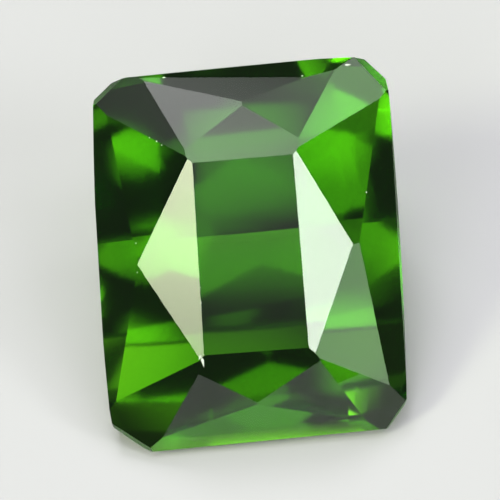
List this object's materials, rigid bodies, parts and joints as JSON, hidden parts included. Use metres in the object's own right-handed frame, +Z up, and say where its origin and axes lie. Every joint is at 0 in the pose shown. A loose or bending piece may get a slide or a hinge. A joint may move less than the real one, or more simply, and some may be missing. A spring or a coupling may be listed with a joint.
{
  "type": "faceted tourmaline",
  "caption": "Clear green cut gemstone, a rectangle with trimmed corners and crossed crown facets, lying on one pavilion facet.",
  "frame": {"origin": "middle of the bounding box at the height of the resting facet", "axes": "+X across the stone, from its left side to its right; -Y towards the front, the way the table leans; +Z up from the resting facet"},
  "size_m": [0.006, 0.006, 0.0047],
  "materials": {
    "green_crystal": "polished"
  },
  "bodies": {
    "root": {"tourmaline": "green_crystal"}
  },
  "joints": []
}
